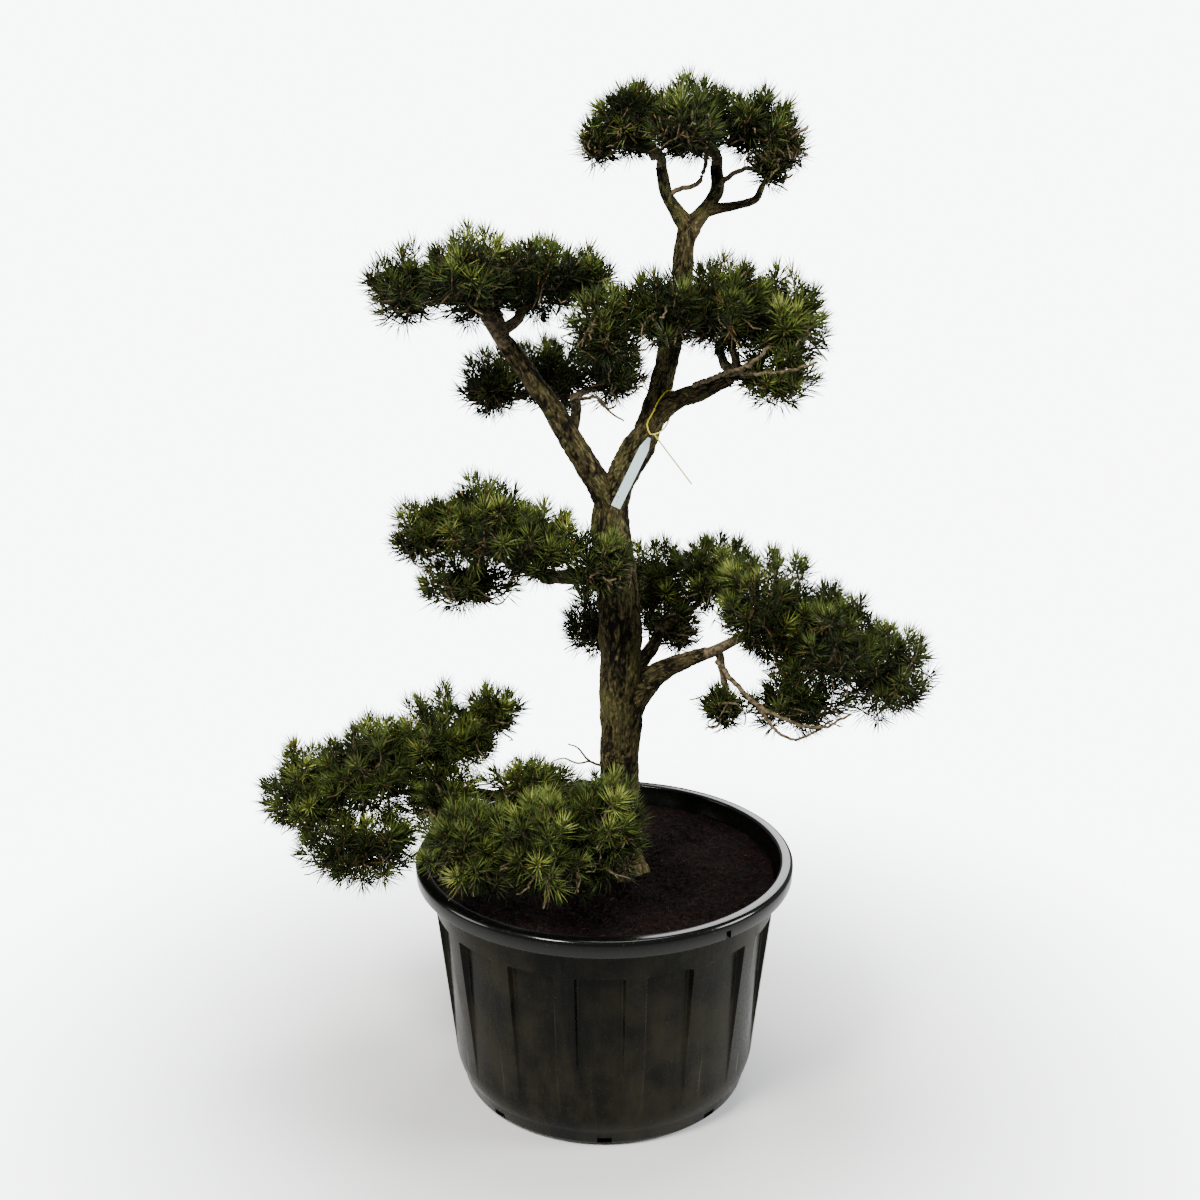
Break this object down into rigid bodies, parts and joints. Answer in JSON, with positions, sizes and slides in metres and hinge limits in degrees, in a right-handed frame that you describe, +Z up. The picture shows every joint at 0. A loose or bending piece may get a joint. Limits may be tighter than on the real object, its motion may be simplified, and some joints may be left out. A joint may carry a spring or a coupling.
{
  "type": "potted lodgepole pine bonsai",
  "caption": "Tall pine bonsai with a bare winding trunk and cloud-like pads of needles, growing in a round black nursery tub full of soil.",
  "frame": {"origin": "centre of the flat underside of the container, on the ground", "axes": "+Z up; +X to the right and +Y to the back in the front view, with the lowest foliage to the left and in front"},
  "size_m": [1.2345, 0.6966, 1.8386],
  "materials": {
    "pot": "black moulded plastic, glossy on the lip and dusty olive brown on the panelled sides",
    "soil": "dark damp potting mix with bark chips and fibres",
    "bark": "rough flaking bark, olive brown and grey",
    "needles": "stiff green needles in dense tufts, yellow green at the shoots' ends, on thin brown twigs",
    "label": "blank pale strip of thin plastic",
    "tie": "thin yellowish plastic tie"
  },
  "bodies": {
    "root": {"pot": "pot", "soil": "soil", "trunk": "bark", "bough_upper_left": "bark", "bough_upper_right": "bark", "bough_upper_back": "bark", "bough_mid_left": "bark", "bough_mid_right": "bark", "bough_mid_right_back": "bark", "bough_lower_left": "bark", "bough_lower_front": "bark", "bough_top_left": "bark", "bough_top_middle": "bark", "bough_top_right": "bark", "foliage_top_left": "needles", "foliage_top_middle": "needles", "foliage_top_right": "needles", "foliage_upper_left": "needles", "foliage_upper_right": "needles", "foliage_upper_back": "needles", "foliage_mid_left": "needles", "foliage_mid_right_back": "needles", "foliage_mid_right": "needles", "foliage_lower_left": "needles", "foliage_lower_front": "needles", "label": "label", "label_tie": "tie"}
  },
  "joints": []
}
